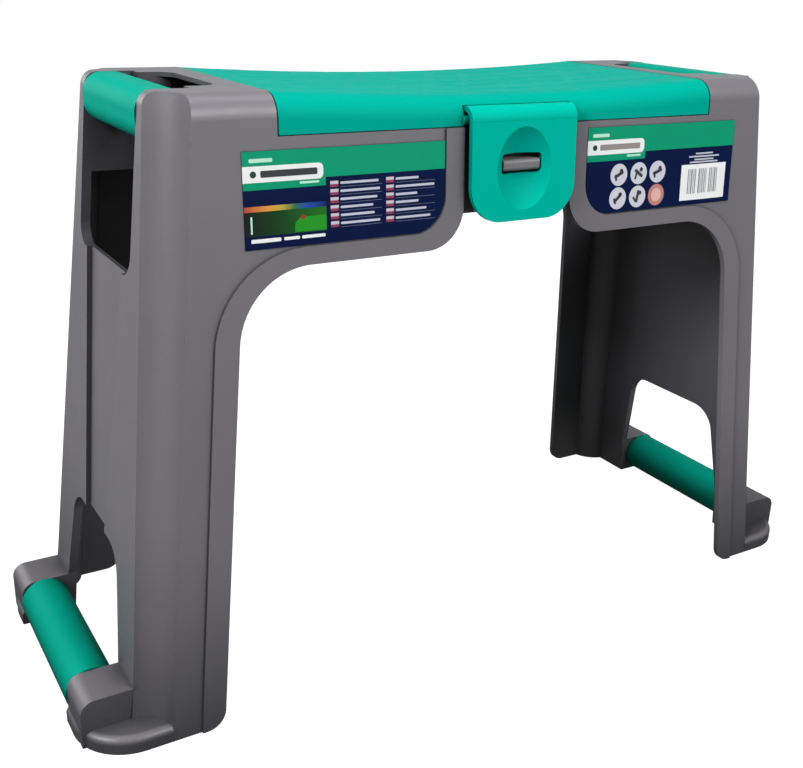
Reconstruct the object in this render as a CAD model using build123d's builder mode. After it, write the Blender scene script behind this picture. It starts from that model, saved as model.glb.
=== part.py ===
from build123d import *
import os

os.makedirs("parts", exist_ok=True)

# Garden kneeler seat. X runs from end to end, Y from front to back and Z up from the floor.
# The legs taper: a pair gives a half size at the floor and at the taper height. Millimetres.
TAPER_HEIGHT = 420.0
FACE_HALF_DEPTH = (119.6, 91.6)
END_HALF_DEPTH = (99.9, 62.9)
END_HALF_LENGTH = (288.6, 246.4)
FLUTE_HALF_LENGTH = (266.9, 226.5)
INNER_HALF_LENGTH = (230.8, 192.4)

WALL = 3.0
TOP_HEIGHT = 409.5
FACE_TOP_RADIUS = 15.0
END_TOP_RADIUS = 9.0
FLUTE_BULGE = 0.70
REACH = 400.0

# Aprons, the notch for the latch, and the raised rim along their edges.
SEAM_HEIGHT = 385.0
SEAM_GAP = 0.3
LID_HALF_LENGTH = 175.3
SEAM_HALF_LENGTH = 176.2
SEAM_WALL_BOTTOM = 328.0
APRON_BOTTOM = 306.7
NOTCH_HALF_WIDTH = 44.5
ARCH_RADIUS = 50.0
NOTCH_RADIUS = 28.0
HEEL_RADIUS = 14.0
RIM_RISE = 1.6
RIM_LEG_WIDTH = 16.0
RIM_APRON_WIDTH = 11.5
RIM_NOTCH_WIDTH = 14.0
RIM_ARCH_RADIUS = 64.0
RIM_NOTCH_RADIUS = 24.0

# End panel: hand window, shallow tapered recess and lower arch.
WINDOW_HALF_WIDTH = 55.0
WINDOW_BOTTOM = 297.0
WINDOW_RADIUS = 15.0
JAMB_DEPTH = 6.5
SKIRT_BOTTOM = 344.0
RECESS_DEPTH = 3.5
RECESS_TOP_HALF_WIDTH = 38.0
RECESS_BOTTOM_HALF_WIDTH = 22.5
ARCH_TOP = 112.0
ARCH_TOP_HALF_WIDTH = 50.5
ARCH_TOP_RADIUS = 22.0
ARCH_FOOT_HEIGHT = 35.0
ARCH_FOOT_HALF_WIDTH = 64.0

# Finger slot and top grip.
SLOT_INNER = 193.0
SLOT_OUTER = 215.2
SLOT_HALF_WIDTH = 44.0
SLOT_RADIUS = 12.0
SLOT_FLANGE_BOTTOM = 396.0
SLOT_FLANGE_WALL = 2.0
GRIP_TOP_CENTRE = (232.6, 393.5)
GRIP_TOP_SIZE = (34.2, 31.8)
GRIP_TOP_RADIUS = 13.0
GRIP_TOP_HALF_LENGTH = 54.8
TOP_ROD_DEPTH = 64.0
TOP_BLOCK_DEPTH = 72.0
TOP_BLOCK_REAR = 70.0

# Feet and lower grip.
PAD_HEIGHT = 12.0
PAD_END = 322.0
PAD_INNER = 266.0
PAD_EDGE_RADIUS = 5.0
PAD_RADIUS = 38.0
FOOT_BLOCK_END = 320.4
FOOT_BLOCK_HEIGHT = 34.5
FOOT_BLOCK_HALF_DEPTH = 97.0
FOOT_BLOCK_RADIUS = 10.0
LOWER_GRIP_CENTRE = (304.0, 18.2)
LOWER_GRIP_RADIUS = 17.6
LOWER_GRIP_HALF_LENGTH = 63.7
LOWER_ROD_DEPTH = 90.0
ROD_RADIUS = 5.0
ROD_FIT = 0.05
CAP_LENGTH = 6.0
CAP_HEAD_HEIGHT = 1.6
CAP_HEAD_RADIUS = 6.0

# Tray between the legs.
TRAY_HALF_LENGTH = 175.9
TRAY_HALF_DEPTH = 84.5
TRAY_BOTTOM = 325.0
TRAY_TOP = 383.5
TRAY_WALL = 2.5
TRAY_CORNER_RADIUS = 10.0
SCREW_PLACES = [(-62.0, 338.0), (-62.0, 370.0), (62.0, 338.0), (62.0, 370.0)]
SCREW_RADIUS = 2.0
SCREW_HEAD_RADIUS = 4.0
SCREW_HEAD_HEIGHT = 2.6
SCREW_BOSS_RADIUS = 4.5
SCREW_BOSS_LENGTH = 9.0
SCREW_LENGTH = 11.0
SCREW_FIT = 0.1
TONGUE_HALF_WIDTH = 15.0
TONGUE_FRONT = -98.5
TONGUE_BOTTOM = 354.8
TONGUE_TOP = 362.6
TONGUE_RADIUS = 2.5

# Lid and its rear hinge.
LID_WALL = 3.0
LID_END_HEIGHT = 409.3
LID_MIDDLE_HEIGHT = 403.5
RIB_BOTTOM = 394.0
RIB_SPACING = 62.0
RIB_WIDTH = 2.0
CURTAIN_FRONT = -81.2
HINGE_AXIS = (98.5, 386.0)
KNUCKLE_RADIUS = 5.0
HINGE_PIN_RADIUS = 2.0
HINGE_FIT = 0.05
LID_KNUCKLES = [(-40.0, -31.0), (-12.0, 12.0), (31.0, 40.0)]
TRAY_KNUCKLES = [(-30.6, -12.4), (12.4, 30.6)]
PIN_HALF_LENGTH = 43.0
CLIP_RADIUS = 4.0
CLIP_PLACE = 40.4
CLIP_WIDTH = 1.5

# Latch on the lid's front.
LATCH_AXIS = (-91.0, 388.8)
LATCH_HALF_WIDTH = 43.0
LATCH_BOTTOM = 322.5
LATCH_PROUD = 6.5
LATCH_PLATE = 3.5
LATCH_RADIUS = 24.0
LATCH_HEAD_DROP = 0.6
LATCH_HEAD_LEAN = 2.6
LATCH_HEAD_CLEARANCE = 0.35
LATCH_WEBS = [(-36.0, -30.0), (-3.0, 3.0), (30.0, 36.0)]
LATCH_BARREL_RADIUS = 3.2
LATCH_BARREL_HALF_LENGTH = 36.0
LATCH_PIN_RADIUS = 1.25
LATCH_PIN_HALF_LENGTH = 43.8
EAR_RADIUS = 3.2
EAR_FRONT = 36.4
EAR_BACK = 50.0
DISH_CENTRE_HEIGHT = 357.0
DISH_HALF_SIZE = (22.5, 27.5)
DISH_DEPTH = 8.0
DISH_WALL = 2.4
DISH_SLOT = (33.0, 353.0, 366.4)

# Printed film labels on the front faces: inner and outer half length, bottom and top, corner radius.
LABEL_LEFT = (59.0, 200.0, 319.0, 377.0)
LABEL_RIGHT = (60.0, 204.0, 319.0, 380.0)
LABEL_RADIUS = 22.0
LABEL_THICKNESS = 0.35

TILT = (FACE_HALF_DEPTH[1] - FACE_HALF_DEPTH[0]) / TAPER_HEIGHT


def taper(pair, height):
    """Size of a tapered side at a height."""
    return pair[0] + (pair[1] - pair[0]) * height / TAPER_HEIGHT


def closed_face(corners):
    """Face inside straight sides, from corners given as (x, y, corner radius)."""
    with BuildLine() as border:
        Polyline(*[(x, y) for x, y, _ in corners], close=True)
    make_face(border.edges())
    for x, y, radius in corners:
        if radius:
            fillet(vertices().sort_by_distance((x, y))[0], radius)


def symmetric_face(corners):
    """Face from its right-hand corners, mirrored to the left."""
    closed_face(corners + [(-x, y, r) for x, y, r in reversed(corners)])


def plan_face(height, relief, wall):
    """The leg's plan at a height, with a hollow flute at each corner."""
    face = taper(FACE_HALF_DEPTH, height) - relief
    end = taper(END_HALF_LENGTH, height)
    flute_x = end - taper(FLUTE_HALF_LENGTH, height) + wall
    flute_y = face - taper(END_HALF_DEPTH, height) + wall
    start = (end - flute_x, face - wall)
    middle = (end - FLUTE_BULGE * flute_x, face - FLUTE_BULGE * flute_y)
    finish = (end - wall, face - flute_y)
    inner = NOTCH_HALF_WIDTH - 4
    with BuildLine() as border:
        Polyline((start[0], -start[1]), (inner, -start[1]), (inner, start[1]), start)
        ThreePointArc(start, middle, finish)
        Line(finish, (finish[0], -finish[1]))
        ThreePointArc((finish[0], -finish[1]), (middle[0], -middle[1]), (start[0], -start[1]))
    make_face(border.edges())


def leg_block(relief, wall, bottom):
    """Solid leg block whose sides lie a wall thickness inside the outer surface."""
    top = TOP_HEIGHT - wall
    face_low = taper(FACE_HALF_DEPTH, bottom) - relief - wall
    face_high = taper(FACE_HALF_DEPTH, top) - relief - wall
    end_low = taper(END_HALF_LENGTH, bottom) - wall
    end_high = taper(END_HALF_LENGTH, top) - wall
    with BuildPart() as block:
        for height in (0, TAPER_HEIGHT):
            with BuildSketch(Plane.XY.offset(height)):
                plan_face(height, relief, wall)
        loft(ruled=True)
        with BuildSketch(Plane.YZ):
            symmetric_face([(face_low, bottom, 0), (face_high, top, FACE_TOP_RADIUS - wall)])
        extrude(amount=REACH, mode=Mode.INTERSECT)
        with BuildSketch(Plane.XZ):
            closed_face([
                (0, bottom, 0),
                (end_low, bottom, 0),
                (end_high, top, END_TOP_RADIUS - wall),
                (0, top, 0),
            ])
        extrude(amount=REACH, both=True, mode=Mode.INTERSECT)
    return block.part


def inner_edge(height, inset=0.0):
    """Half length of a leg's inner edge at a height."""
    return taper(INNER_HALF_LENGTH, height) + inset


def leg_elevation():
    """One leg with its half apron and top plate, seen from the front."""
    seam = SEAM_HEIGHT - SEAM_GAP
    closed_face([
        (inner_edge(0), 0, HEEL_RADIUS),
        (inner_edge(APRON_BOTTOM), APRON_BOTTOM, ARCH_RADIUS),
        (NOTCH_HALF_WIDTH, APRON_BOTTOM, NOTCH_RADIUS),
        (NOTCH_HALF_WIDTH, seam, 0),
        (SEAM_HALF_LENGTH, seam, 0),
        (SEAM_HALF_LENGTH, REACH + 30, 0),
        (REACH, REACH + 30, 0),
        (REACH, 0, 0),
    ])


def field_elevation(inset=0.0):
    """The flat field inside the raised rim, seen from the front."""
    bottom = APRON_BOTTOM + RIM_APRON_WIDTH + inset
    inner = NOTCH_HALF_WIDTH + RIM_NOTCH_WIDTH + inset
    with BuildSketch(Plane.XZ, mode=Mode.PRIVATE) as field:
        closed_face([
            (inner_edge(-50, RIM_LEG_WIDTH + inset), -50, 0),
            (inner_edge(bottom, RIM_LEG_WIDTH + inset), bottom, RIM_ARCH_RADIUS),
            (inner, bottom, RIM_NOTCH_RADIUS),
            (inner, REACH + 50, 0),
            (REACH + 50, REACH + 50, 0),
            (REACH + 50, -50, 0),
        ])
    return field.sketch


def end_slab(outer, inner):
    """Sloping slab parallel to the end face, between two depths behind it."""
    with BuildPart() as slab:
        with BuildSketch(Plane.XZ):
            closed_face([
                (taper(END_HALF_LENGTH, 0) - inner, 0, 0),
                (taper(END_HALF_LENGTH, 0) - outer, 0, 0),
                (taper(END_HALF_LENGTH, TAPER_HEIGHT) - outer, TAPER_HEIGHT, 0),
                (taper(END_HALF_LENGTH, TAPER_HEIGHT) - inner, TAPER_HEIGHT, 0),
            ])
        extrude(amount=REACH, both=True)
    return slab.part


def recess_slab(outer, inner):
    """The tapered recess of the end panel as a slab, running on past both of its ends."""
    rise = ARCH_TOP - 20
    slope = (RECESS_TOP_HALF_WIDTH - RECESS_BOTTOM_HALF_WIDTH) / (WINDOW_BOTTOM - ARCH_TOP)
    low = RECESS_BOTTOM_HALF_WIDTH - slope * 20
    high = RECESS_TOP_HALF_WIDTH + slope * 20
    with BuildPart() as slab:
        add(end_slab(outer, inner))
        with BuildSketch(Plane.YZ):
            symmetric_face([(low, rise, 0), (high, WINDOW_BOTTOM + 20, 0)])
        extrude(amount=REACH, mode=Mode.INTERSECT)
    return slab.part


# The end panel's openings and the finger slot, cut from outside.
with BuildPart() as openings:
    with BuildSketch(Plane.YZ.offset(SLOT_OUTER)):
        symmetric_face([
            (WINDOW_HALF_WIDTH, WINDOW_BOTTOM, WINDOW_RADIUS),
            (WINDOW_HALF_WIDTH, REACH + 20, 0),
        ])
    extrude(amount=REACH)
    with BuildSketch(Plane.XY.offset(TOP_HEIGHT - 12)):
        closed_face([
            (SLOT_INNER, -SLOT_HALF_WIDTH, SLOT_RADIUS),
            (SLOT_OUTER + 4, -SLOT_HALF_WIDTH, 0),
            (SLOT_OUTER + 4, SLOT_HALF_WIDTH, 0),
            (SLOT_INNER, SLOT_HALF_WIDTH, SLOT_RADIUS),
        ])
    extrude(amount=30)
    with BuildSketch(Plane.YZ.offset(INNER_HALF_LENGTH[1] - 20)):
        symmetric_face([
            (ARCH_FOOT_HALF_WIDTH, -1, 0),
            (ARCH_FOOT_HALF_WIDTH, ARCH_FOOT_HEIGHT, 0),
            (ARCH_TOP_HALF_WIDTH, ARCH_TOP, ARCH_TOP_RADIUS),
        ])
    extrude(amount=REACH)

# Raised rim along the inner edge, the arch, the apron and the notch.
with BuildPart() as rim:
    add(leg_block(0, 0, 0))
    with BuildSketch(Plane.XZ):
        leg_elevation()
        add(field_elevation(), mode=Mode.SUBTRACT)
    extrude(amount=REACH, both=True, mode=Mode.INTERSECT)

# Foot block and pad at the front; the rear ones are mirrored from them.
with BuildPart() as foot:
    with BuildSketch():
        closed_face([
            (PAD_INNER, -ARCH_FOOT_HALF_WIDTH, 0),
            (PAD_INNER, RIM_RISE - FACE_HALF_DEPTH[0], 0),
            (PAD_END, RIM_RISE - FACE_HALF_DEPTH[0], PAD_RADIUS),
            (PAD_END, -ARCH_FOOT_HALF_WIDTH, 0),
        ])
    extrude(amount=PAD_HEIGHT)
    pad_edges = faces().sort_by(Axis.Z)[-1].edges()
    fillet(pad_edges.sort_by_distance((PAD_INNER, -ARCH_FOOT_HALF_WIDTH, PAD_HEIGHT))[2:], PAD_EDGE_RADIUS)
    with BuildSketch(Plane.XZ.offset(ARCH_FOOT_HALF_WIDTH)):
        closed_face([
            (PAD_INNER, 0, 0),
            (FOOT_BLOCK_END, 0, 0),
            (FOOT_BLOCK_END, FOOT_BLOCK_HEIGHT, FOOT_BLOCK_RADIUS),
            (PAD_INNER, FOOT_BLOCK_HEIGHT, 0),
        ])
    extrude(amount=FOOT_BLOCK_HALF_DEPTH - ARCH_FOOT_HALF_WIDTH)

def side_boxes(x_range, y_range, z_range):
    """A box at the front and its mirror image at the back."""
    with BuildPart(mode=Mode.PRIVATE) as pair:
        with BuildSketch(Plane.XY.offset(z_range[0])):
            closed_face([
                (x_range[0], -y_range[1], 0),
                (x_range[1], -y_range[1], 0),
                (x_range[1], -y_range[0], 0),
                (x_range[0], -y_range[0], 0),
            ])
        extrude(amount=z_range[1] - z_range[0])
        mirror(about=Plane.XZ)
    return pair.part


def rod_along_y(centre, radius, start, finish):
    """Cylinder along Y through a point given as (x, z)."""
    with BuildPart(Plane.XZ, mode=Mode.PRIVATE) as rod:
        with BuildSketch(Plane.XZ.offset(-finish)):
            with Locations(centre):
                Circle(radius)
        extrude(amount=finish - start)
    return rod.part


def rod_along_x(centre, radius, start, finish):
    """Cylinder along X through a point given as (y, z)."""
    with BuildPart(mode=Mode.PRIVATE) as rod:
        with BuildSketch(Plane.YZ.offset(start)):
            with Locations(centre):
                Circle(radius)
        extrude(amount=finish - start)
    return rod.part


# Inner walls of a leg: seam wall, window jamb, skirts beside the window and blocks for the top rod.
with BuildPart() as inner_walls:
    with BuildSketch(Plane.YZ):
        symmetric_face([
            (WINDOW_HALF_WIDTH + WALL, WINDOW_BOTTOM - WALL, WINDOW_RADIUS + WALL),
            (WINDOW_HALF_WIDTH + WALL, SKIRT_BOTTOM + WALL, 0),
        ])
    extrude(amount=REACH)
    add(end_slab(0, JAMB_DEPTH), mode=Mode.INTERSECT)
    with BuildSketch(Plane.YZ.offset(SEAM_HALF_LENGTH)):
        symmetric_face([
            (FACE_HALF_DEPTH[0], SEAM_WALL_BOTTOM, 0),
            (FACE_HALF_DEPTH[0], TOP_HEIGHT, 0),
        ])
    extrude(amount=WALL)
    add(side_boxes(
        (SEAM_HALF_LENGTH, END_HALF_LENGTH[0]),
        (WINDOW_HALF_WIDTH, WINDOW_HALF_WIDTH + WALL),
        (SKIRT_BOTTOM, TOP_HEIGHT),
    ))
    add(side_boxes(
        (SLOT_INNER, SLOT_OUTER),
        (SLOT_HALF_WIDTH, SLOT_HALF_WIDTH + SLOT_FLANGE_WALL),
        (SLOT_FLANGE_BOTTOM, TOP_HEIGHT),
    ))
    add(side_boxes(
        (SLOT_OUTER, END_HALF_LENGTH[0]),
        (WINDOW_HALF_WIDTH, TOP_BLOCK_DEPTH),
        (GRIP_TOP_CENTRE[1] - GRIP_TOP_SIZE[1] / 2, TOP_HEIGHT),
    ))
    add(leg_block(RIM_RISE, 0, 0), mode=Mode.INTERSECT)

# The end panel is thicker than the other walls, so that its recess doesn't show inside.
with BuildPart() as end_panel:
    add(end_slab(WALL - 0.5, WALL + RECESS_DEPTH))
    add(leg_block(RIM_RISE, WALL / 2, 0), mode=Mode.INTERSECT)

with BuildPart() as right_leg:
    add(leg_block(RIM_RISE, 0, 0))
    add(rim.part)
    add(foot.part)
    mirror(foot.part, about=Plane.XZ)
    add(leg_block(RIM_RISE, WALL, 0), mode=Mode.SUBTRACT)
    add(inner_walls.part)
    with BuildSketch(Plane.XZ):
        leg_elevation()
    extrude(amount=REACH, both=True, mode=Mode.INTERSECT)
    add(end_panel.part)
    add(recess_slab(-5, RECESS_DEPTH), mode=Mode.SUBTRACT)
    add(openings.part, mode=Mode.SUBTRACT)
    bore = ROD_RADIUS + ROD_FIT
    add(rod_along_y(GRIP_TOP_CENTRE, bore, -TOP_ROD_DEPTH, REACH), mode=Mode.SUBTRACT)
    add(rod_along_y(GRIP_TOP_CENTRE, CAP_HEAD_RADIUS + 0.5, TOP_BLOCK_REAR, REACH), mode=Mode.SUBTRACT)
    add(rod_along_y(LOWER_GRIP_CENTRE, bore, -LOWER_ROD_DEPTH, REACH), mode=Mode.SUBTRACT)
    for place in SCREW_PLACES:
        add(rod_along_x(place, SCREW_RADIUS + SCREW_FIT, 170, 185), mode=Mode.SUBTRACT)


def grip_bore(centre, half_length):
    """Bore for the rod through a grip."""
    return rod_along_y(centre, ROD_RADIUS + ROD_FIT, -half_length, half_length)


with BuildPart() as right_top_grip:
    with BuildSketch(Plane.XZ):
        with Locations(GRIP_TOP_CENTRE):
            RectangleRounded(*GRIP_TOP_SIZE, GRIP_TOP_RADIUS)
    extrude(amount=GRIP_TOP_HALF_LENGTH, both=True)
    add(grip_bore(GRIP_TOP_CENTRE, GRIP_TOP_HALF_LENGTH), mode=Mode.SUBTRACT)

with BuildPart() as right_lower_grip:
    with BuildSketch(Plane.XZ):
        with Locations(LOWER_GRIP_CENTRE):
            Circle(LOWER_GRIP_RADIUS)
    extrude(amount=LOWER_GRIP_HALF_LENGTH, both=True)
    fillet(edges().filter_by(GeomType.CIRCLE), 1.0)
    add(grip_bore(LOWER_GRIP_CENTRE, LOWER_GRIP_HALF_LENGTH), mode=Mode.SUBTRACT)

with BuildPart() as right_top_rod:
    add(rod_along_y(GRIP_TOP_CENTRE, ROD_RADIUS, 0.5 - TOP_ROD_DEPTH, TOP_BLOCK_REAR - CAP_LENGTH))

with BuildPart() as right_lower_rod:
    rear = FOOT_BLOCK_HALF_DEPTH - CAP_LENGTH
    add(rod_along_y(LOWER_GRIP_CENTRE, ROD_RADIUS, 0.5 - LOWER_ROD_DEPTH, rear))


def rod_cap(centre, seat):
    """Push-in cap that closes a rod's bore at the back."""
    with BuildPart(mode=Mode.PRIVATE) as cap:
        add(rod_along_y(centre, ROD_RADIUS, seat - CAP_LENGTH + 0.5, seat))
        add(rod_along_y(centre, CAP_HEAD_RADIUS, seat, seat + CAP_HEAD_HEIGHT))
        fillet(edges().sort_by(Axis.Y)[-1], 0.8)
    return cap.part


with BuildPart() as right_top_rod_cap:
    add(rod_cap(GRIP_TOP_CENTRE, TOP_BLOCK_REAR))

with BuildPart() as right_lower_rod_cap:
    add(rod_cap(LOWER_GRIP_CENTRE, FOOT_BLOCK_HALF_DEPTH))

with BuildPart() as right_tray_screws:
    for place in SCREW_PLACES:
        seat = SEAM_HALF_LENGTH + WALL
        add(rod_along_x(place, SCREW_RADIUS, seat - SCREW_LENGTH, seat))
        add(rod_along_x(place, SCREW_HEAD_RADIUS, seat, seat + SCREW_HEAD_HEIGHT))
        socket = seat + SCREW_HEAD_HEIGHT / 2
        add(rod_along_x(place, SCREW_HEAD_RADIUS / 2, socket, REACH), mode=Mode.SUBTRACT)


def label_film(inner, outer, bottom, top):
    """Thin film on the right leg's front field, inside the rim."""
    back = [taper(FACE_HALF_DEPTH, z) - RIM_RISE for z in (bottom, top)]
    with BuildPart(mode=Mode.PRIVATE) as film:
        with BuildSketch(Plane.YZ):
            closed_face([
                (-back[0], bottom, 0),
                (-back[0] - LABEL_THICKNESS, bottom, 0),
                (-back[1] - LABEL_THICKNESS, top, 0),
                (-back[1], top, 0),
            ])
        extrude(amount=REACH)
        with BuildSketch(Plane.XZ):
            closed_face([
                (inner, bottom, LABEL_RADIUS),
                (outer, bottom, 0),
                (outer, top, 0),
                (inner, top, 0),
            ])
            add(field_elevation(inset=0.5), mode=Mode.INTERSECT)
        extrude(amount=REACH, mode=Mode.INTERSECT)
    return film.part


with BuildPart() as right_front_label:
    add(label_film(*LABEL_RIGHT))

with BuildPart() as left_front_label:
    mirror(label_film(*LABEL_LEFT), about=Plane.YZ)

# Tray with the catch tongue at the front, the hinge knuckles at the back and screw bosses at the ends.
with BuildPart() as tray:
    with BuildSketch(Plane.XY.offset(TRAY_BOTTOM)):
        RectangleRounded(2 * TRAY_HALF_LENGTH, 2 * TRAY_HALF_DEPTH, TRAY_CORNER_RADIUS)
    extrude(amount=TRAY_TOP - TRAY_BOTTOM)
    fillet(faces().sort_by(Axis.Z)[0].edges(), 4)
    offset(amount=-TRAY_WALL, openings=faces().sort_by(Axis.Z)[-1])
    with BuildSketch(Plane.YZ):
        closed_face([
            (TONGUE_FRONT, TONGUE_BOTTOM, TONGUE_RADIUS),
            (TONGUE_FRONT, TONGUE_TOP, TONGUE_RADIUS),
            (TRAY_WALL / 2 - TRAY_HALF_DEPTH, TONGUE_TOP, 0),
            (TRAY_WALL / 2 - TRAY_HALF_DEPTH, TONGUE_BOTTOM, 0),
        ])
    extrude(amount=TONGUE_HALF_WIDTH, both=True)
    for start, finish in TRAY_KNUCKLES:
        with BuildSketch(Plane.YZ.offset(start)):
            closed_face([
                (TRAY_HALF_DEPTH - 1, 352, 0),
                (HINGE_AXIS[0], HINGE_AXIS[1] - KNUCKLE_RADIUS, 0),
                (HINGE_AXIS[0], HINGE_AXIS[1] - 2, 0),
                (TRAY_HALF_DEPTH - 1, HINGE_AXIS[1] - 2, 0),
            ])
            with Locations(HINGE_AXIS):
                Circle(KNUCKLE_RADIUS)
        extrude(amount=finish - start)
    for side in (-1, 1):
        for place in SCREW_PLACES:
            face = side * TRAY_HALF_LENGTH
            boss = face - side * SCREW_BOSS_LENGTH
            add(rod_along_x(place, SCREW_BOSS_RADIUS, min(face, boss), max(face, boss)))
    for side in (-1, 1):
        for place in SCREW_PLACES:
            face = side * REACH
            boss = side * (TRAY_HALF_LENGTH - SCREW_BOSS_LENGTH - 1)
            pilot = SCREW_RADIUS + SCREW_FIT
            add(rod_along_x(place, pilot, min(face, boss), max(face, boss)), mode=Mode.SUBTRACT)
    add(rod_along_x(HINGE_AXIS, HINGE_PIN_RADIUS + HINGE_FIT, -REACH, REACH), mode=Mode.SUBTRACT)


def latch_face(height, depth):
    """Y of the latch plate at a height, a depth behind its front surface."""
    return depth - taper(FACE_HALF_DEPTH, height) - LATCH_PROUD


# The latch's head is rounded about its hinge and meets the front of the plate smoothly.
head_radius = (LATCH_AXIS[0] - latch_face(LATCH_AXIS[1], 0)) / (1 + TILT ** 2) ** 0.5


def lid_block(wall, bottom):
    """Solid lid with a saddle-shaped top and rounded long edges, inside the outer surface."""
    low = taper(FACE_HALF_DEPTH, bottom) - RIM_RISE - wall
    high = taper(FACE_HALF_DEPTH, TAPER_HEIGHT) - RIM_RISE - wall
    end = LID_HALF_LENGTH - wall
    end_height = LID_END_HEIGHT - wall
    with BuildPart(mode=Mode.PRIVATE) as block:
        with BuildSketch(Plane.XZ):
            with BuildLine() as saddle:
                ThreePointArc((-end, end_height), (0, LID_MIDDLE_HEIGHT - wall), (end, end_height))
                Polyline((end, end_height), (end, bottom), (-end, bottom), (-end, end_height))
            make_face(saddle.edges())
        extrude(amount=REACH, both=True)
        with BuildSketch(Plane.YZ):
            symmetric_face([(low, bottom, 0), (high, TAPER_HEIGHT, 0)])
        extrude(amount=REACH, both=True, mode=Mode.INTERSECT)
        long_edges = edges().filter_by(lambda edge: edge.length > 1.5 * end)
        fillet(long_edges.group_by(Axis.Z)[-1], FACE_TOP_RADIUS - wall)
    return block.part


with BuildPart() as lid:
    lid_bottom = SEAM_HEIGHT + SEAM_GAP
    outer_lid = lid_block(0, lid_bottom)
    add(outer_lid)
    add(lid_block(LID_WALL, lid_bottom - 5), mode=Mode.SUBTRACT)
    # Stiffening ribs under the seat, and a curtain wall behind the latch.
    with BuildSketch(Plane.XY.offset(RIB_BOTTOM)):
        with GridLocations(RIB_SPACING, 0, 5, 1):
            Rectangle(RIB_WIDTH, 2 * TRAY_HALF_DEPTH)
        with GridLocations(0, RIB_SPACING, 1, 2):
            Rectangle(2 * TRAY_HALF_LENGTH, RIB_WIDTH)
    extrude(amount=30)
    with BuildSketch(Plane.XY.offset(lid_bottom)):
        with Locations((0, CURTAIN_FRONT + RIB_WIDTH / 2)):
            Rectangle(2 * NOTCH_HALF_WIDTH + 10, RIB_WIDTH)
    extrude(amount=30)
    with BuildSketch(Plane.YZ.offset(-NOTCH_HALF_WIDTH)):
        closed_face([
            (-FACE_HALF_DEPTH[0], SEAM_HEIGHT - 5, 0),
            (CURTAIN_FRONT, SEAM_HEIGHT - 5, 0),
            (CURTAIN_FRONT, LATCH_AXIS[1], 0),
            (-FACE_HALF_DEPTH[0], LATCH_AXIS[1], 0),
        ])
        with Locations(LATCH_AXIS):
            Circle(head_radius + LATCH_HEAD_CLEARANCE)
    extrude(amount=2 * NOTCH_HALF_WIDTH, mode=Mode.SUBTRACT)
    for side in (-1, 1):
        ends = sorted((side * NOTCH_HALF_WIDTH, side * EAR_BACK))
        add(rod_along_x(LATCH_AXIS, EAR_RADIUS, *ends))
    add(outer_lid, mode=Mode.INTERSECT)
    for side in (-1, 1):
        ends = sorted((side * EAR_FRONT, side * (NOTCH_HALF_WIDTH + 1)))
        add(rod_along_x(LATCH_AXIS, EAR_RADIUS, *ends))
    pin_bore = LATCH_PIN_RADIUS + HINGE_FIT
    pin_reach = LATCH_PIN_HALF_LENGTH + 0.5
    add(rod_along_x(LATCH_AXIS, pin_bore, -pin_reach, pin_reach), mode=Mode.SUBTRACT)
    for start, finish in LID_KNUCKLES:
        with BuildSketch(Plane.YZ.offset(start)):
            closed_face([
                (taper(FACE_HALF_DEPTH, SEAM_HEIGHT) - RIM_RISE - LID_WALL, HINGE_AXIS[1], 0),
                (HINGE_AXIS[0], HINGE_AXIS[1], 0),
                (HINGE_AXIS[0], HINGE_AXIS[1] + KNUCKLE_RADIUS, 0),
                (taper(FACE_HALF_DEPTH, SEAM_HEIGHT) - RIM_RISE - LID_WALL, HINGE_AXIS[1] + 7, 0),
            ])
            with Locations(HINGE_AXIS):
                Circle(KNUCKLE_RADIUS)
        extrude(amount=finish - start)
    add(rod_along_x(HINGE_AXIS, HINGE_PIN_RADIUS + HINGE_FIT, -REACH, REACH), mode=Mode.SUBTRACT)

with BuildPart() as lid_hinge_pin:
    add(rod_along_x(HINGE_AXIS, HINGE_PIN_RADIUS, -PIN_HALF_LENGTH, PIN_HALF_LENGTH))
    chamfer(edges(), 0.4)

with BuildPart() as lid_hinge_clips:
    for side in (-1, 1):
        ends = sorted((side * CLIP_PLACE, side * (CLIP_PLACE + CLIP_WIDTH)))
        add(rod_along_x(HINGE_AXIS, CLIP_RADIUS, *ends))
    add(rod_along_x(HINGE_AXIS, HINGE_PIN_RADIUS + ROD_FIT, -REACH, REACH), mode=Mode.SUBTRACT)

with BuildPart() as latch_pin:
    add(rod_along_x(LATCH_AXIS, LATCH_PIN_RADIUS, -LATCH_PIN_HALF_LENGTH, LATCH_PIN_HALF_LENGTH))


def dish(growth):
    """Oval scoop in the latch plate, grown by a wall thickness."""
    half_width, half_height = DISH_HALF_SIZE
    across = (half_width ** 2 + DISH_DEPTH ** 2) / (2 * DISH_DEPTH)
    along = (half_height ** 2 + DISH_DEPTH ** 2) / (2 * DISH_DEPTH)
    axis_out = across - DISH_DEPTH
    reach = ((along + growth) ** 2 - (along - across) ** 2) ** 0.5
    tilt = Vector(0, -TILT, 1).normalized()
    outward = Vector(0, -1, -TILT).normalized()
    centre = (0, latch_face(DISH_CENTRE_HEIGHT, 0), DISH_CENTRE_HEIGHT)
    with BuildPart(mode=Mode.PRIVATE) as scoop:
        with BuildSketch(Plane(origin=centre, x_dir=outward, z_dir=outward.cross(tilt))):
            with BuildLine() as arc:
                ThreePointArc((axis_out, -reach), (-DISH_DEPTH - growth, 0), (axis_out, reach))
                Line((axis_out, reach), (axis_out, -reach))
            make_face(arc.edges())
        revolve(axis=Axis(Vector(centre) + outward * axis_out, tilt))
    return scoop.part


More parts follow.
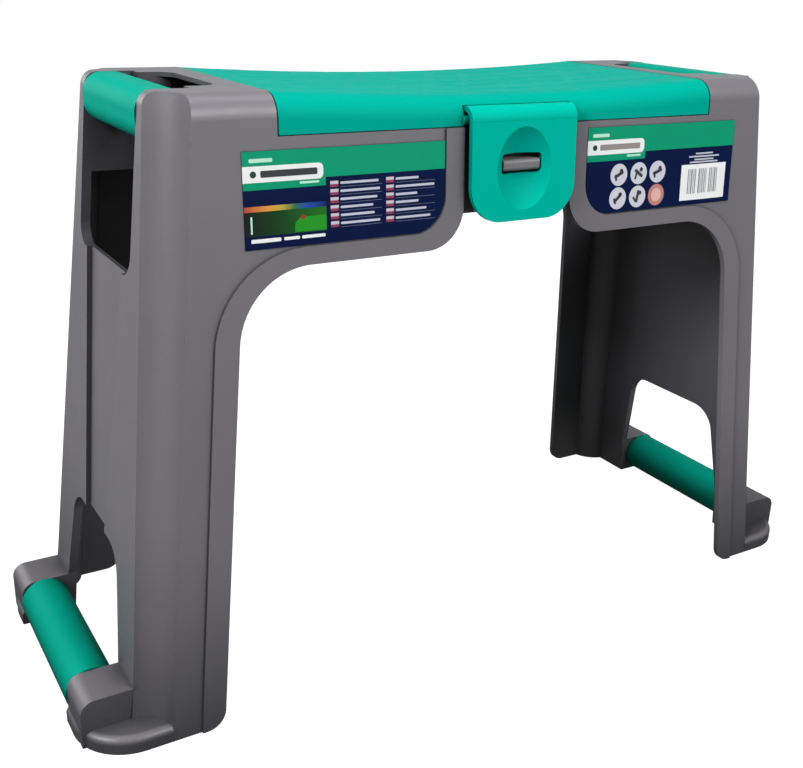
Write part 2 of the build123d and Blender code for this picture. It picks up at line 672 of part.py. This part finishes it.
def latch_slab(front, back):
    """Sloping slab between two depths behind the latch's front surface."""
    top = LATCH_AXIS[1] - LATCH_HEAD_DROP
    with BuildPart(mode=Mode.PRIVATE) as slab:
        with BuildSketch(Plane.YZ):
            closed_face([
                (latch_face(LATCH_BOTTOM, front), LATCH_BOTTOM, 0),
                (latch_face(top, front), top, 0),
                (latch_face(top, back), top, 0),
                (latch_face(LATCH_BOTTOM, back), LATCH_BOTTOM, 0),
            ])
        extrude(amount=REACH, both=True)
    return slab.part


def latch_head(inner_radius, start, finish):
    """Front and top of a roll about the latch's hinge, outside an inner radius."""
    front = LATCH_AXIS[0] - 2 * head_radius
    low = LATCH_AXIS[1] - LATCH_HEAD_DROP
    high = LATCH_AXIS[1] + 2 * head_radius
    with BuildPart(mode=Mode.PRIVATE) as head:
        with BuildSketch(Plane.YZ.offset(start)):
            closed_face([
                (front, low, 0),
                (LATCH_AXIS[0], low, 0),
                (LATCH_AXIS[0] + 2 * LATCH_HEAD_LEAN, high, 0),
                (front, high, 0),
            ])
        extrude(amount=finish - start)
        add(rod_along_x(LATCH_AXIS, head_radius, start, finish), mode=Mode.INTERSECT)
        if inner_radius:
            add(rod_along_x(LATCH_AXIS, inner_radius, start, finish), mode=Mode.SUBTRACT)
    return head.part


with BuildPart() as latch:
    with BuildSketch(Plane.XZ):
        closed_face([
            (-LATCH_HALF_WIDTH, LATCH_BOTTOM, LATCH_RADIUS),
            (LATCH_HALF_WIDTH, LATCH_BOTTOM, LATCH_RADIUS),
            (LATCH_HALF_WIDTH, REACH, 0),
            (-LATCH_HALF_WIDTH, REACH, 0),
        ])
    extrude(amount=REACH, both=True)
    add(latch_slab(0, LATCH_PLATE), mode=Mode.INTERSECT)
    add(latch_head(head_radius - LATCH_PLATE, -LATCH_HALF_WIDTH, LATCH_HALF_WIDTH))
    for start, finish in LATCH_WEBS:
        add(latch_head(0, start, finish))
    add(rod_along_x(LATCH_AXIS, LATCH_BARREL_RADIUS, -LATCH_BARREL_HALF_LENGTH, LATCH_BARREL_HALF_LENGTH))
    with BuildPart(mode=Mode.PRIVATE) as bowl:
        add(dish(DISH_WALL))
        add(latch_slab(LATCH_PLATE / 2, 30), mode=Mode.INTERSECT)
    add(bowl.part)
    add(dish(0), mode=Mode.SUBTRACT)
    with BuildSketch(Plane.XZ.offset(TRAY_HALF_DEPTH)):
        with Locations((0, (DISH_SLOT[1] + DISH_SLOT[2]) / 2)):
            RectangleRounded(DISH_SLOT[0], DISH_SLOT[2] - DISH_SLOT[1], 3)
    extrude(amount=REACH, mode=Mode.SUBTRACT)
    add(rod_along_x(LATCH_AXIS, LATCH_PIN_RADIUS + HINGE_FIT, -REACH, REACH), mode=Mode.SUBTRACT)


def mirrored(piece):
    """The left-hand copy of a right-hand piece."""
    with BuildPart(mode=Mode.PRIVATE) as copy:
        mirror(piece.part, about=Plane.YZ)
    return copy


pieces = {
    "right_leg": right_leg,
    "right_top_grip": right_top_grip,
    "right_lower_grip": right_lower_grip,
    "right_top_rod": right_top_rod,
    "right_lower_rod": right_lower_rod,
    "right_top_rod_cap": right_top_rod_cap,
    "right_lower_rod_cap": right_lower_rod_cap,
    "right_tray_screws": right_tray_screws,
}
pieces.update({name.replace("right", "left"): mirrored(piece) for name, piece in pieces.items()})
pieces.update({
    "right_front_label": right_front_label,
    "left_front_label": left_front_label,
    "tray": tray,
    "lid": lid,
    "lid_hinge_pin": lid_hinge_pin,
    "lid_hinge_clips": lid_hinge_clips,
    "latch": latch,
    "latch_pin": latch_pin,
})

for name, piece in pieces.items():
    piece.part.label = name
    export_step(piece.part, f"parts/{name}.step")
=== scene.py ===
"""Garden kneeler seat: materials, printed labels, seat pattern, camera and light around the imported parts."""
import math

import bpy
from mathutils import Matrix, Vector


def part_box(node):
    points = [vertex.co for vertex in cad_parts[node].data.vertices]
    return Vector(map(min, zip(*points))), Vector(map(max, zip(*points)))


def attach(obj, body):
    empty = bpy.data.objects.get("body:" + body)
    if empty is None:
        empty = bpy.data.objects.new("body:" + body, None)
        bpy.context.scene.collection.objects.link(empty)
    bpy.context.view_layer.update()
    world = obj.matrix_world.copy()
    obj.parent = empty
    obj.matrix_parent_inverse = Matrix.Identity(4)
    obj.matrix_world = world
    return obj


MM = 0.001

# The legs' front faces lean back by this much per metre of height; their flat field starts here.
FACE_LEAN = 28.0 / 420.0
FIELD_AT_FLOOR = -0.1180
FILM_THICKNESS = 0.00035

# The seat's top is a shallow saddle: height at its middle, rise at its ends and half length, in metres.
SADDLE_MIDDLE = 0.4035
SADDLE_RISE = 0.0058
SADDLE_HALF_LENGTH = 0.1756

# Camera: place in metres, angles in degrees and lens in millimetres.
CAMERA_PLACE = (-0.4427, -0.6786, 0.4790)
CAMERA_AZIMUTH = -31.39
CAMERA_ELEVATION = -21.18
CAMERA_ROLL = 1.99
CAMERA_LENS = 48.0

# Stage: glows without units, radius in metres, and each light's name, place, aim, size and watts.
WORLD_STRENGTH = 0.12
FLOOR_GLOW = 0.97
BACKDROP_RADIUS = 28.0
LIGHTS = (
    ("overhead", (0.0, 0.1, 1.9), (0.0, 0.0, 0.3), (1.6, 1.0), 11.0),
    ("left_side", (-1.9, -0.5, 1.55), (0.0, 0.0, 0.25), (1.0, 1.0), 54.0),
    ("front_fill", (0.75, -2.05, 1.6), (0.0, 0.0, 0.25), (1.4, 1.0), 48.0),
    ("rear_panel", (1.9, 2.9, 1.5), (0.0, 0.0, 0.3), (3.6, 1.8), 9.0),
    ("rear_fill", (-1.3, 2.3, 1.0), (0.0, 0.0, 0.25), (1.6, 1.2), 16.0),
)

# Finishes that several materials share, and the painted shade in hollows: its reach in metres and the
# occlusion at which it is darkest.
COLOUR_VARIATION = 0.05
PAINTED_SHADE_REACH = 0.16
PAINTED_SHADE_FULL_AT = 0.48
FILM_ROUGHNESS = 0.32

# Edge break on the moulded pieces.
EDGE_BREAK = 0.5 * MM
EDGE_BREAK_SEGMENTS = 2
EDGE_BREAK_ANGLE = 40.0

# Raised dashes on the seat, in millimetres. Each ring gives an inset from the outline and a height.
DASH_PITCH = 31.0
DASH_ROW_SPACING = 24.6
DASH_HALF_LENGTH = 12.0
DASH_HALF_WIDTH = 2.6
DASH_CORNER = 2.5
DASH_ROWS_EACH_SIDE = 3
DASHES_EACH_SIDE = 6
DASH_FIELD_HALF_LENGTH = 162.0
DASH_RINGS = ((0.0, -0.3), (0.5, 0.1), (1.4, 0.26))


# ---------------------------------------------------------------- node helpers

def new_material(name):
    """An empty node material and its Principled shader."""
    material = bpy.data.materials.new(name)
    material.use_nodes = True
    return material, material.node_tree.nodes["Principled BSDF"]


def add_node(material, kind, **settings):
    """A new node with some of its settings or input values filled in."""
    node = material.node_tree.nodes.new(kind)
    for key, value in settings.items():
        if hasattr(node, key):
            setattr(node, key, value)
        else:
            node.inputs[key.replace("_", " ")].default_value = value
    return node


def link(material, source, target):
    """Join an output socket to an input socket."""
    material.node_tree.links.new(source, target)


def object_noise(material, scale, detail=3.0, roughness=0.5):
    """Noise in the object's own metres."""
    place = add_node(material, "ShaderNodeTexCoord")
    noise = add_node(material, "ShaderNodeTexNoise", Scale=scale, Detail=detail, Roughness=roughness)
    link(material, place.outputs["Object"], noise.inputs["Vector"])
    return noise


def remap(material, value, low, high, to_low, to_high):
    """Map a value from one range to another."""
    node = add_node(material, "ShaderNodeMapRange")
    for name, number in (("From Min", low), ("From Max", high), ("To Min", to_low), ("To Max", to_high)):
        node.inputs[name].default_value = number
    link(material, value, node.inputs["Value"])
    return node.outputs["Result"]


def tint(material, factor, dark, light):
    """Colour between two colours by a factor."""
    mix = add_node(material, "ShaderNodeMix", data_type="RGBA")
    link(material, factor, mix.inputs["Factor"])
    mix.inputs[6].default_value = (*dark, 1)
    mix.inputs[7].default_value = (*light, 1)
    return mix.outputs[2]


def paint_hollow_shade(material, colour, darkest_painted_shade):
    """Painted shade: darken a colour where other surfaces close in around the point, found by ambient
    occlusion.
    """
    occlusion = add_node(material, "ShaderNodeAmbientOcclusion", samples=8)
    occlusion.inputs["Distance"].default_value = PAINTED_SHADE_REACH
    painted_shade = remap(material, occlusion.outputs["AO"], PAINTED_SHADE_FULL_AT, 1.0, darkest_painted_shade, 1.0)
    mix = add_node(material, "ShaderNodeMix", data_type="RGBA", blend_type="MULTIPLY")
    mix.inputs["Factor"].default_value = 1.0
    link(material, colour, mix.inputs[6])
    link(material, painted_shade, mix.inputs[7])
    return mix.outputs[2]


def moulded_plastic(name, colour, roughness, grain, darkest_painted_shade, specular=0.5):
    """Injection-moulded plastic with a fine spark-eroded grain, slightly uneven gloss and painted shade
    darkening its hollows.
    """
    material, shader = new_material(name)
    cloud = object_noise(material, 14, detail=4)
    low = [c * (1 - COLOUR_VARIATION) for c in colour]
    high = [min(1, c * (1 + COLOUR_VARIATION)) for c in colour]
    base = tint(material, cloud.outputs["Fac"], low, high)
    link(material, paint_hollow_shade(material, base, darkest_painted_shade), shader.inputs["Base Color"])
    smear = object_noise(material, 45, detail=5, roughness=0.6)
    gloss = remap(material, smear.outputs["Fac"], 0.3, 0.7, roughness - 0.05, roughness + 0.06)
    link(material, gloss, shader.inputs["Roughness"])
    shader.inputs["Specular IOR Level"].default_value = specular
    fine = object_noise(material, 2600, detail=2)
    bump = add_node(material, "ShaderNodeBump", Strength=grain, Distance=0.0002)
    link(material, fine.outputs["Fac"], bump.inputs["Height"])
    link(material, bump.outputs["Normal"], shader.inputs["Normal"])
    return material


def plated_steel(name):
    """Zinc-plated steel with fine drawing marks."""
    material, shader = new_material(name)
    shader.inputs["Metallic"].default_value = 1.0
    marks = object_noise(material, 900, detail=4)
    colour = tint(material, marks.outputs["Fac"], (0.42, 0.43, 0.44), (0.62, 0.62, 0.63))
    link(material, colour, shader.inputs["Base Color"])
    link(material, remap(material, marks.outputs["Fac"], 0.3, 0.7, 0.25, 0.42), shader.inputs["Roughness"])
    return material


def printed_film(name, colour):
    """Laminated printed film: ink of slightly uneven tone under an even semi-gloss surface."""
    material, shader = new_material(name)
    cloud = object_noise(material, 60, detail=3)
    low = [c * 0.94 for c in colour]
    high = [min(1, c * 1.05) for c in colour]
    link(material, tint(material, cloud.outputs["Fac"], low, high), shader.inputs["Base Color"])
    shader.inputs["Roughness"].default_value = FILM_ROUGHNESS
    shader.inputs["Specular IOR Level"].default_value = 0.2
    return material


def shaded_film(name, length, stops):
    """Printed film whose ink changes along X over a length that starts at the left label's left edge."""
    material, shader = new_material(name)
    place = add_node(material, "ShaderNodeTexCoord")
    split = add_node(material, "ShaderNodeSeparateXYZ")
    link(material, place.outputs["Object"], split.inputs["Vector"])
    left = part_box("left_front_label")[0][0]
    factor = remap(material, split.outputs["X"], left, left + length, 0.0, 1.0)
    ramp = add_node(material, "ShaderNodeValToRGB")
    elements = ramp.color_ramp.elements
    while len(elements) < len(stops):
        elements.new(0.5)
    for element, (position, colour) in zip(elements, stops):
        element.position = position
        element.color = (*colour, 1)
    link(material, factor, ramp.inputs["Fac"])
    link(material, ramp.outputs["Color"], shader.inputs["Base Color"])
    shader.inputs["Roughness"].default_value = FILM_ROUGHNESS
    return material


# ---------------------------------------------------------------- shapes

def rounded_outline(u0, v0, u1, v1, radii=(0, 0, 0, 0), turn=0.0):
    """Points round a rectangle in millimetres, with one radius per corner, turned by degrees."""
    points = []
    corners = ((u0, v0, 180), (u1, v0, 270), (u1, v1, 0), (u0, v1, 90))
    for (u, v, angle), radius in zip(corners, radii):
        if not radius:
            points.append((u, v))
            continue
        centre_u = u + (radius if u == u0 else -radius)
        centre_v = v + (radius if v == v0 else -radius)
        for step in range(7):
            a = math.radians(angle + 15 * step)
            points.append((centre_u + radius * math.cos(a), centre_v + radius * math.sin(a)))
    middle_u, middle_v = (u0 + u1) / 2, (v0 + v1) / 2
    c, s = math.cos(math.radians(turn)), math.sin(math.radians(turn))
    return [
        (
            middle_u + (u - middle_u) * c - (v - middle_v) * s,
            middle_v + (u - middle_u) * s + (v - middle_v) * c,
        )
        for u, v in points
    ]


def disc_outline(u, v, radius, count=40):
    """Points round a circle in millimetres."""
    return [
        (u + radius * math.cos(math.tau * i / count), v + radius * math.sin(math.tau * i / count))
        for i in range(count)
    ]


def prism_mesh(name, outlines, place, low, high):
    """One mesh of flat-topped prisms; place(u, v, lift) gives each point in metres."""
    verts, faces = [], []
    for outline in outlines:
        base = len(verts)
        count = len(outline)
        for lift in (low, high):
            verts += [place(u, v, lift) for u, v in outline]
        faces.append([base + count + i for i in range(count)])
        faces.append([base + i for i in reversed(range(count))])
        for i in range(count):
            j = (i + 1) % count
            faces.append([base + i, base + j, base + count + j, base + count + i])
    mesh = bpy.data.meshes.new(name)
    mesh.from_pydata(verts, [], faces)
    mesh.update()
    piece = bpy.data.objects.new(name, mesh)
    bpy.context.scene.collection.objects.link(piece)
    return piece


class Label:
    """Printing on one label film. Places are millimetres right and up from the film's lower left corner."""

    def __init__(self, node):
        low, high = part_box(node)
        self.name = node
        self.left, self.bottom = low[0], low[2]
        self.width, self.height = (high[0] - low[0]) / MM, (high[2] - low[2]) / MM

    def place(self, u, v, lift):
        x = self.left + u * MM
        z = self.bottom + v * MM
        return (x, FIELD_AT_FLOOR + FACE_LEAN * z - FILM_THICKNESS - lift, z)

    def ink(self, layer, outlines, material, level):
        """Ink shapes of one colour; a higher level lies over the lower ones."""
        piece = prism_mesh(f"{self.name}_{layer}", outlines, self.place, 0.0, level * 0.00004)
        piece.data.materials.append(material)
        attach(piece, "frame")


def label_heading(label, bar_ink):
    """Green band with a white plate at its left end, holding a plain dot and bar."""
    top = label.height
    band = top * 0.695
    step = top * 0.61
    label.ink("band", [
        rounded_outline(0.1, band, label.width - 0.1, top - 0.1),
        rounded_outline(0.1, step, 54.5, band),
    ], INKS["green"], 1)
    plate_low, plate_high = top * 0.685, top * 0.85
    label.ink("plate", [
        rounded_outline(0.1, plate_low, 53.0, plate_high, (0, 3.2, 3.2, 0)),
    ], INKS["white"], 2)
    middle = (plate_low + plate_high) / 2
    label.ink("emblem", [disc_outline(6.8, middle, 2.0)], INKS["emblem"], 3)
    label.ink("title", [
        rounded_outline(11.5, middle - 2.0, 49.0, middle + 2.0, (0.8,) * 4),
    ], bar_ink, 3)
    label.ink("small_lines", [
        rounded_outline(4.5, top * 0.885, 19.5, top * 0.925, (0.6,) * 4),
        rounded_outline(37.0, top * 0.645, 50.0, top * 0.668, (0.4,) * 4),
    ], INKS["pale_green"], 3)


def left_label():
    """Heading, a small abstract garden picture and two columns of plain bars."""
    label = Label("left_front_label")
    label_heading(label, INKS["dark_grey"])
    label.ink("ground", [rounded_outline(0.1, 8.0, 54.5, 24.0)], INKS["ground"], 1)
    label.ink("sunrise", [rounded_outline(0.1, 22.6, 54.5, 25.8)], INKS["sunrise"], 2)
    label.ink("lawn", [rounded_outline(33.0, 8.6, 54.5, 17.5, (0, 0, 0, 6.0))], INKS["lawn"], 2)
    label.ink("berry", [disc_outline(38.5, 17.2, 1.5)], INKS["berry"], 3)
    label.ink("stake", [rounded_outline(4.0, 9.5, 5.2, 20.0, (0.5,) * 4)], INKS["pale_green"], 2)
    label.ink("footing", [
        rounded_outline(4.0, 4.0, 23.5, 6.3, (0.6,) * 4),
        rounded_outline(25.5, 4.2, 36.0, 6.1, (0.6,) * 4),
        rounded_outline(37.5, 4.2, 53.5, 6.1, (0.6,) * 4),
    ], INKS["white"], 2)
    bars, lines, upper, lower = [], [], [], []
    for column, lengths in ((57.5, (27, 28, 26, 23, 24, 28)), (97.0, (17, 29, 16, 17, 23, 26))):
        for row, length in enumerate(lengths):
            height = label.height - 22.3 - 4.95 * row
            upper.append(rounded_outline(column, height, column + 5.6, height + 1.9))
            lower.append(rounded_outline(column, height - 1.7, column + 5.6, height))
            start = column + 7.0
            bars.append(rounded_outline(start, height - 0.3, start + length, height + 1.2, (0.5,) * 4))
            lines.append(rounded_outline(start, height - 2.0, column + 36.5, height - 1.75))
    label.ink("tile_upper", upper, INKS["tile_pale"], 1)
    label.ink("tile_lower", lower, INKS["tile_red"], 1)
    label.ink("bars", bars, INKS["soft_white"], 1)
    label.ink("rules", lines, INKS["rule"], 1)


def right_label():
    """Heading, six discs with plain marks, a few short bars and a block of upright bars."""
    label = Label("right_front_label")
    label_heading(label, INKS["mid_grey"])
    discs, marks, specks = [], [], []
    turns = iter((25, -35, 20, 40, 80))
    for v in (26.8, 10.0):
        for u in (30.5, 49.4, 67.8):
            if (u, v) == (67.8, 10.0):
                label.ink("pink_disc", [disc_outline(u, v, 7.9)], INKS["pink"], 1)
                label.ink("pink_centre", [disc_outline(u, v, 4.9)], INKS["pale_pink"], 2)
                continue
            turn = next(turns)
            discs.append(disc_outline(u, v, 7.9))
            marks.append(rounded_outline(u - 4.6, v - 1.1, u + 4.6, v + 1.3, (1.1,) * 4, turn))
            specks.append(disc_outline(u + 2.2, v + 2.6, 1.6))
            specks.append(rounded_outline(u - 3.6, v - 4.4, u - 1.8, v + 0.4, (0.8,) * 4, turn / 2))
    label.ink("discs", discs, INKS["disc"], 1)
    label.ink("marks", marks + specks, INKS["dark_grey"], 2)
    label.ink("code_block", [rounded_outline(92.0, 3.4, 138.0, 30.0)], INKS["white"], 1)
    uprights = []
    widths = (1.1, 0.6, 1.7, 0.8, 1.2)
    for group, start in enumerate((99.0, 110.0, 121.0)):
        u = start
        for index in range(5):
            width = widths[(index + 2 * group) % 5]
            uprights.append(rounded_outline(u, 8.2, u + width, 26.6))
            u += width + 0.75
    label.ink("uprights", uprights, INKS["code_grey"], 2)
    label.ink("short_bars", [
        rounded_outline(114.5 - half, v, 114.5 + half, v + 1.1, (0.4,) * 4)
        for half, v in ((9.0, 37.3), (15.5, 35.1), (10.0, 32.9), (14.5, 31.0))
    ], INKS["soft_white"], 1)


def soften_edges(piece):
    """Break the sharp moulded edges by a small radius."""
    bevel = piece.modifiers.new("edge_break", "BEVEL")
    bevel.width = EDGE_BREAK
    bevel.segments = EDGE_BREAK_SEGMENTS
    bevel.limit_method = "ANGLE"
    bevel.angle_limit = math.radians(EDGE_BREAK_ANGLE)


def seat_tread(material):
    """Low raised dashes over the seat, in staggered rows, all one piece on the lid."""
    verts, faces = [], []
    for row in range(-DASH_ROWS_EACH_SIDE, DASH_ROWS_EACH_SIDE + 1):
        across = DASH_ROW_SPACING * row
        shift = DASH_PITCH / 2 if row % 2 else 0.0
        for column in range(-DASHES_EACH_SIDE, DASHES_EACH_SIDE + 1):
            middle = DASH_PITCH * column + shift
            if abs(middle) > DASH_FIELD_HALF_LENGTH:
                continue
            base = len(verts)
            count = 0
            for inset, rise in DASH_RINGS:
                outline = rounded_outline(
                    middle - DASH_HALF_LENGTH + inset, across - DASH_HALF_WIDTH + inset,
                    middle + DASH_HALF_LENGTH - inset, across + DASH_HALF_WIDTH - inset,
                    (DASH_CORNER - inset,) * 4,
                )
                count = len(outline)
                for x, y in outline:
                    along = x * MM / SADDLE_HALF_LENGTH
                    verts.append((x * MM, y * MM, SADDLE_MIDDLE + SADDLE_RISE * along * along + rise * MM))
            for ring in range(len(DASH_RINGS) - 1):
                a = base + ring * count
                for i in range(count):
                    j = (i + 1) % count
                    faces.append([a + i, a + j, a + count + j, a + count + i])
            faces.append([base + (len(DASH_RINGS) - 1) * count + i for i in range(count)])
            faces.append([base + i for i in reversed(range(count))])
    mesh = bpy.data.meshes.new("seat_tread")
    mesh.from_pydata(verts, [], faces)
    mesh.update()
    mesh.materials.append(material)
    tread = bpy.data.objects.new("seat_tread", mesh)
    bpy.context.scene.collection.objects.link(tread)
    for face in mesh.polygons:
        face.use_smooth = True
    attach(tread, "lid")


# ---------------------------------------------------------------- stage

def studio():
    """Pale floor, soft lights and the camera."""
    scene = bpy.context.scene
    scene.view_settings.view_transform = "Standard"
    world = bpy.data.worlds.new("studio")
    world.use_nodes = True
    background = world.node_tree.nodes["Background"]
    background.inputs["Color"].default_value = (1, 1, 1, 1)
    background.inputs["Strength"].default_value = WORLD_STRENGTH
    scene.world = world

    bpy.ops.mesh.primitive_plane_add(size=60)
    floor = bpy.context.object
    floor.name = "floor"
    bpy.ops.mesh.primitive_uv_sphere_add(segments=48, ring_count=24, radius=BACKDROP_RADIUS)
    backdrop = bpy.context.object
    backdrop.name = "backdrop"
    material, shader = new_material("floor_paint")
    shader.inputs["Base Color"].default_value = (0.25, 0.25, 0.25, 1)
    shader.inputs["Roughness"].default_value = 1.0
    shader.inputs["Specular IOR Level"].default_value = 0.0
    shader.inputs["Emission Color"].default_value = (1, 1, 1, 1)
    shader.inputs["Emission Strength"].default_value = FLOOR_GLOW
    for piece in (floor, backdrop):
        piece.visible_diffuse = False
        piece.visible_glossy = False
        piece.data.materials.append(material)

    for name, place, aim_point, size, power in LIGHTS:
        light = bpy.data.lights.new(name, "AREA")
        light.shape = "RECTANGLE"
        light.size, light.size_y = size
        light.energy = power
        lamp = bpy.data.objects.new(name, light)
        scene.collection.objects.link(lamp)
        lamp.location = place
        aim = Vector(aim_point) - Vector(place)
        lamp.rotation_euler = aim.to_track_quat("-Z", "Y").to_euler()

    azimuth, elevation, roll = (math.radians(a) for a in (CAMERA_AZIMUTH, CAMERA_ELEVATION, CAMERA_ROLL))
    ahead = Vector((
        -math.sin(azimuth) * math.cos(elevation),
        math.cos(azimuth) * math.cos(elevation),
        math.sin(elevation),
    ))
    right = ahead.cross(Vector((0, 0, 1))).normalized()
    up = right.cross(ahead)
    right, up = (
        math.cos(roll) * right + math.sin(roll) * up,
        math.cos(roll) * up - math.sin(roll) * right,
    )
    camera = bpy.data.objects.new("camera", bpy.data.cameras.new("camera"))
    camera.data.lens = CAMERA_LENS
    camera.data.clip_start = 0.01
    camera.matrix_world = Matrix.Translation(CAMERA_PLACE) @ Matrix((right, up, -ahead)).transposed().to_4x4()
    scene.collection.objects.link(camera)
    scene.camera = camera


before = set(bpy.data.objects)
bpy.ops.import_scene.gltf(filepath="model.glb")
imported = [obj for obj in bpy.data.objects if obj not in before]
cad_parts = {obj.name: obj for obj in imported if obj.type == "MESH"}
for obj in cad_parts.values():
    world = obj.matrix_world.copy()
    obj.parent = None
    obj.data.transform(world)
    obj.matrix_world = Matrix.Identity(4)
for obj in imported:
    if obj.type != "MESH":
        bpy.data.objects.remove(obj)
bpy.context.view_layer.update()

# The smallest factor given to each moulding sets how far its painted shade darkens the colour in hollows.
grey = moulded_plastic("grey_moulding", (0.164, 0.158, 0.174), 0.4, 0.25, darkest_painted_shade=0.24)
dark_grey = moulded_plastic("tray_moulding", (0.2, 0.19, 0.2), 0.45, 0.25, darkest_painted_shade=0.7)
lid_green = moulded_plastic("lid_moulding", (0.0, 0.35, 0.27), 0.45, 0.2, specular=0.01, darkest_painted_shade=0.45)
latch_green = moulded_plastic("latch_moulding", (0.0, 0.43, 0.33), 0.45, 0.2, specular=0.01, darkest_painted_shade=0.4)
grip_green = moulded_plastic("grip_moulding", (0.0, 0.32, 0.232), 0.5, 0.35, specular=0.02, darkest_painted_shade=0.22)
steel = plated_steel("plated_steel")
film = printed_film("label_navy", (0.001, 0.007, 0.05))

INKS = {
    "green": printed_film("ink_green", (0.003, 0.31, 0.16)),
    "white": printed_film("ink_white", (0.86, 0.88, 0.87)),
    "soft_white": printed_film("ink_soft_white", (0.55, 0.57, 0.66)),
    "rule": printed_film("ink_rule", (0.16, 0.18, 0.28)),
    "pale_green": printed_film("ink_pale_green", (0.5, 0.82, 0.66)),
    "dark_grey": printed_film("ink_dark_grey", (0.05, 0.055, 0.06)),
    "mid_grey": printed_film("ink_mid_grey", (0.3, 0.27, 0.26)),
    "code_grey": printed_film("ink_code_grey", (0.3, 0.3, 0.32)),
    "emblem": printed_film("ink_emblem", (0.02, 0.07, 0.05)),
    "disc": printed_film("ink_disc", (0.62, 0.63, 0.7)),
    "pink": printed_film("ink_pink", (0.55, 0.22, 0.2)),
    "pale_pink": printed_film("ink_pale_pink", (0.75, 0.45, 0.42)),
    "tile_pale": printed_film("ink_tile_pale", (0.6, 0.55, 0.6)),
    "tile_red": printed_film("ink_tile_red", (0.3, 0.05, 0.1)),
    "lawn": printed_film("ink_lawn", (0.02, 0.3, 0.02)),
    "berry": printed_film("ink_berry", (0.35, 0.04, 0.03)),
    "ground": shaded_film("ink_ground", 0.055, (
        (0.0, (0.002, 0.006, 0.006)), (0.45, (0.003, 0.05, 0.006)), (1.0, (0.01, 0.16, 0.01)),
    )),
    "sunrise": shaded_film("ink_sunrise", 0.055, (
        (0.0, (0.45, 0.05, 0.03)), (0.28, (0.75, 0.3, 0.05)), (0.45, (0.5, 0.4, 0.06)),
        (0.6, (0.03, 0.16, 0.05)), (0.75, (0.01, 0.07, 0.4)), (1.0, (0.002, 0.01, 0.07)),
    )),
}

NODE_MATERIALS = {
    "lid": lid_green, "latch": latch_green, "tray": dark_grey,
    "lid_hinge_pin": steel, "lid_hinge_clips": steel, "latch_pin": steel,
}
for side in ("left", "right"):
    NODE_MATERIALS.update({
        f"{side}_leg": grey, f"{side}_top_rod_cap": grey, f"{side}_lower_rod_cap": grey,
        f"{side}_top_grip": grip_green, f"{side}_lower_grip": grip_green,
        f"{side}_top_rod": steel, f"{side}_lower_rod": steel, f"{side}_tray_screws": steel,
        f"{side}_front_label": film,
    })
for node, material in NODE_MATERIALS.items():
    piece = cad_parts[node]
    piece.data.materials.clear()
    piece.data.materials.append(material)

for node in ("left_leg", "right_leg", "lid", "latch", "tray"):
    soften_edges(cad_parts[node])
left_label()
right_label()
seat_tread(lid_green)
studio()
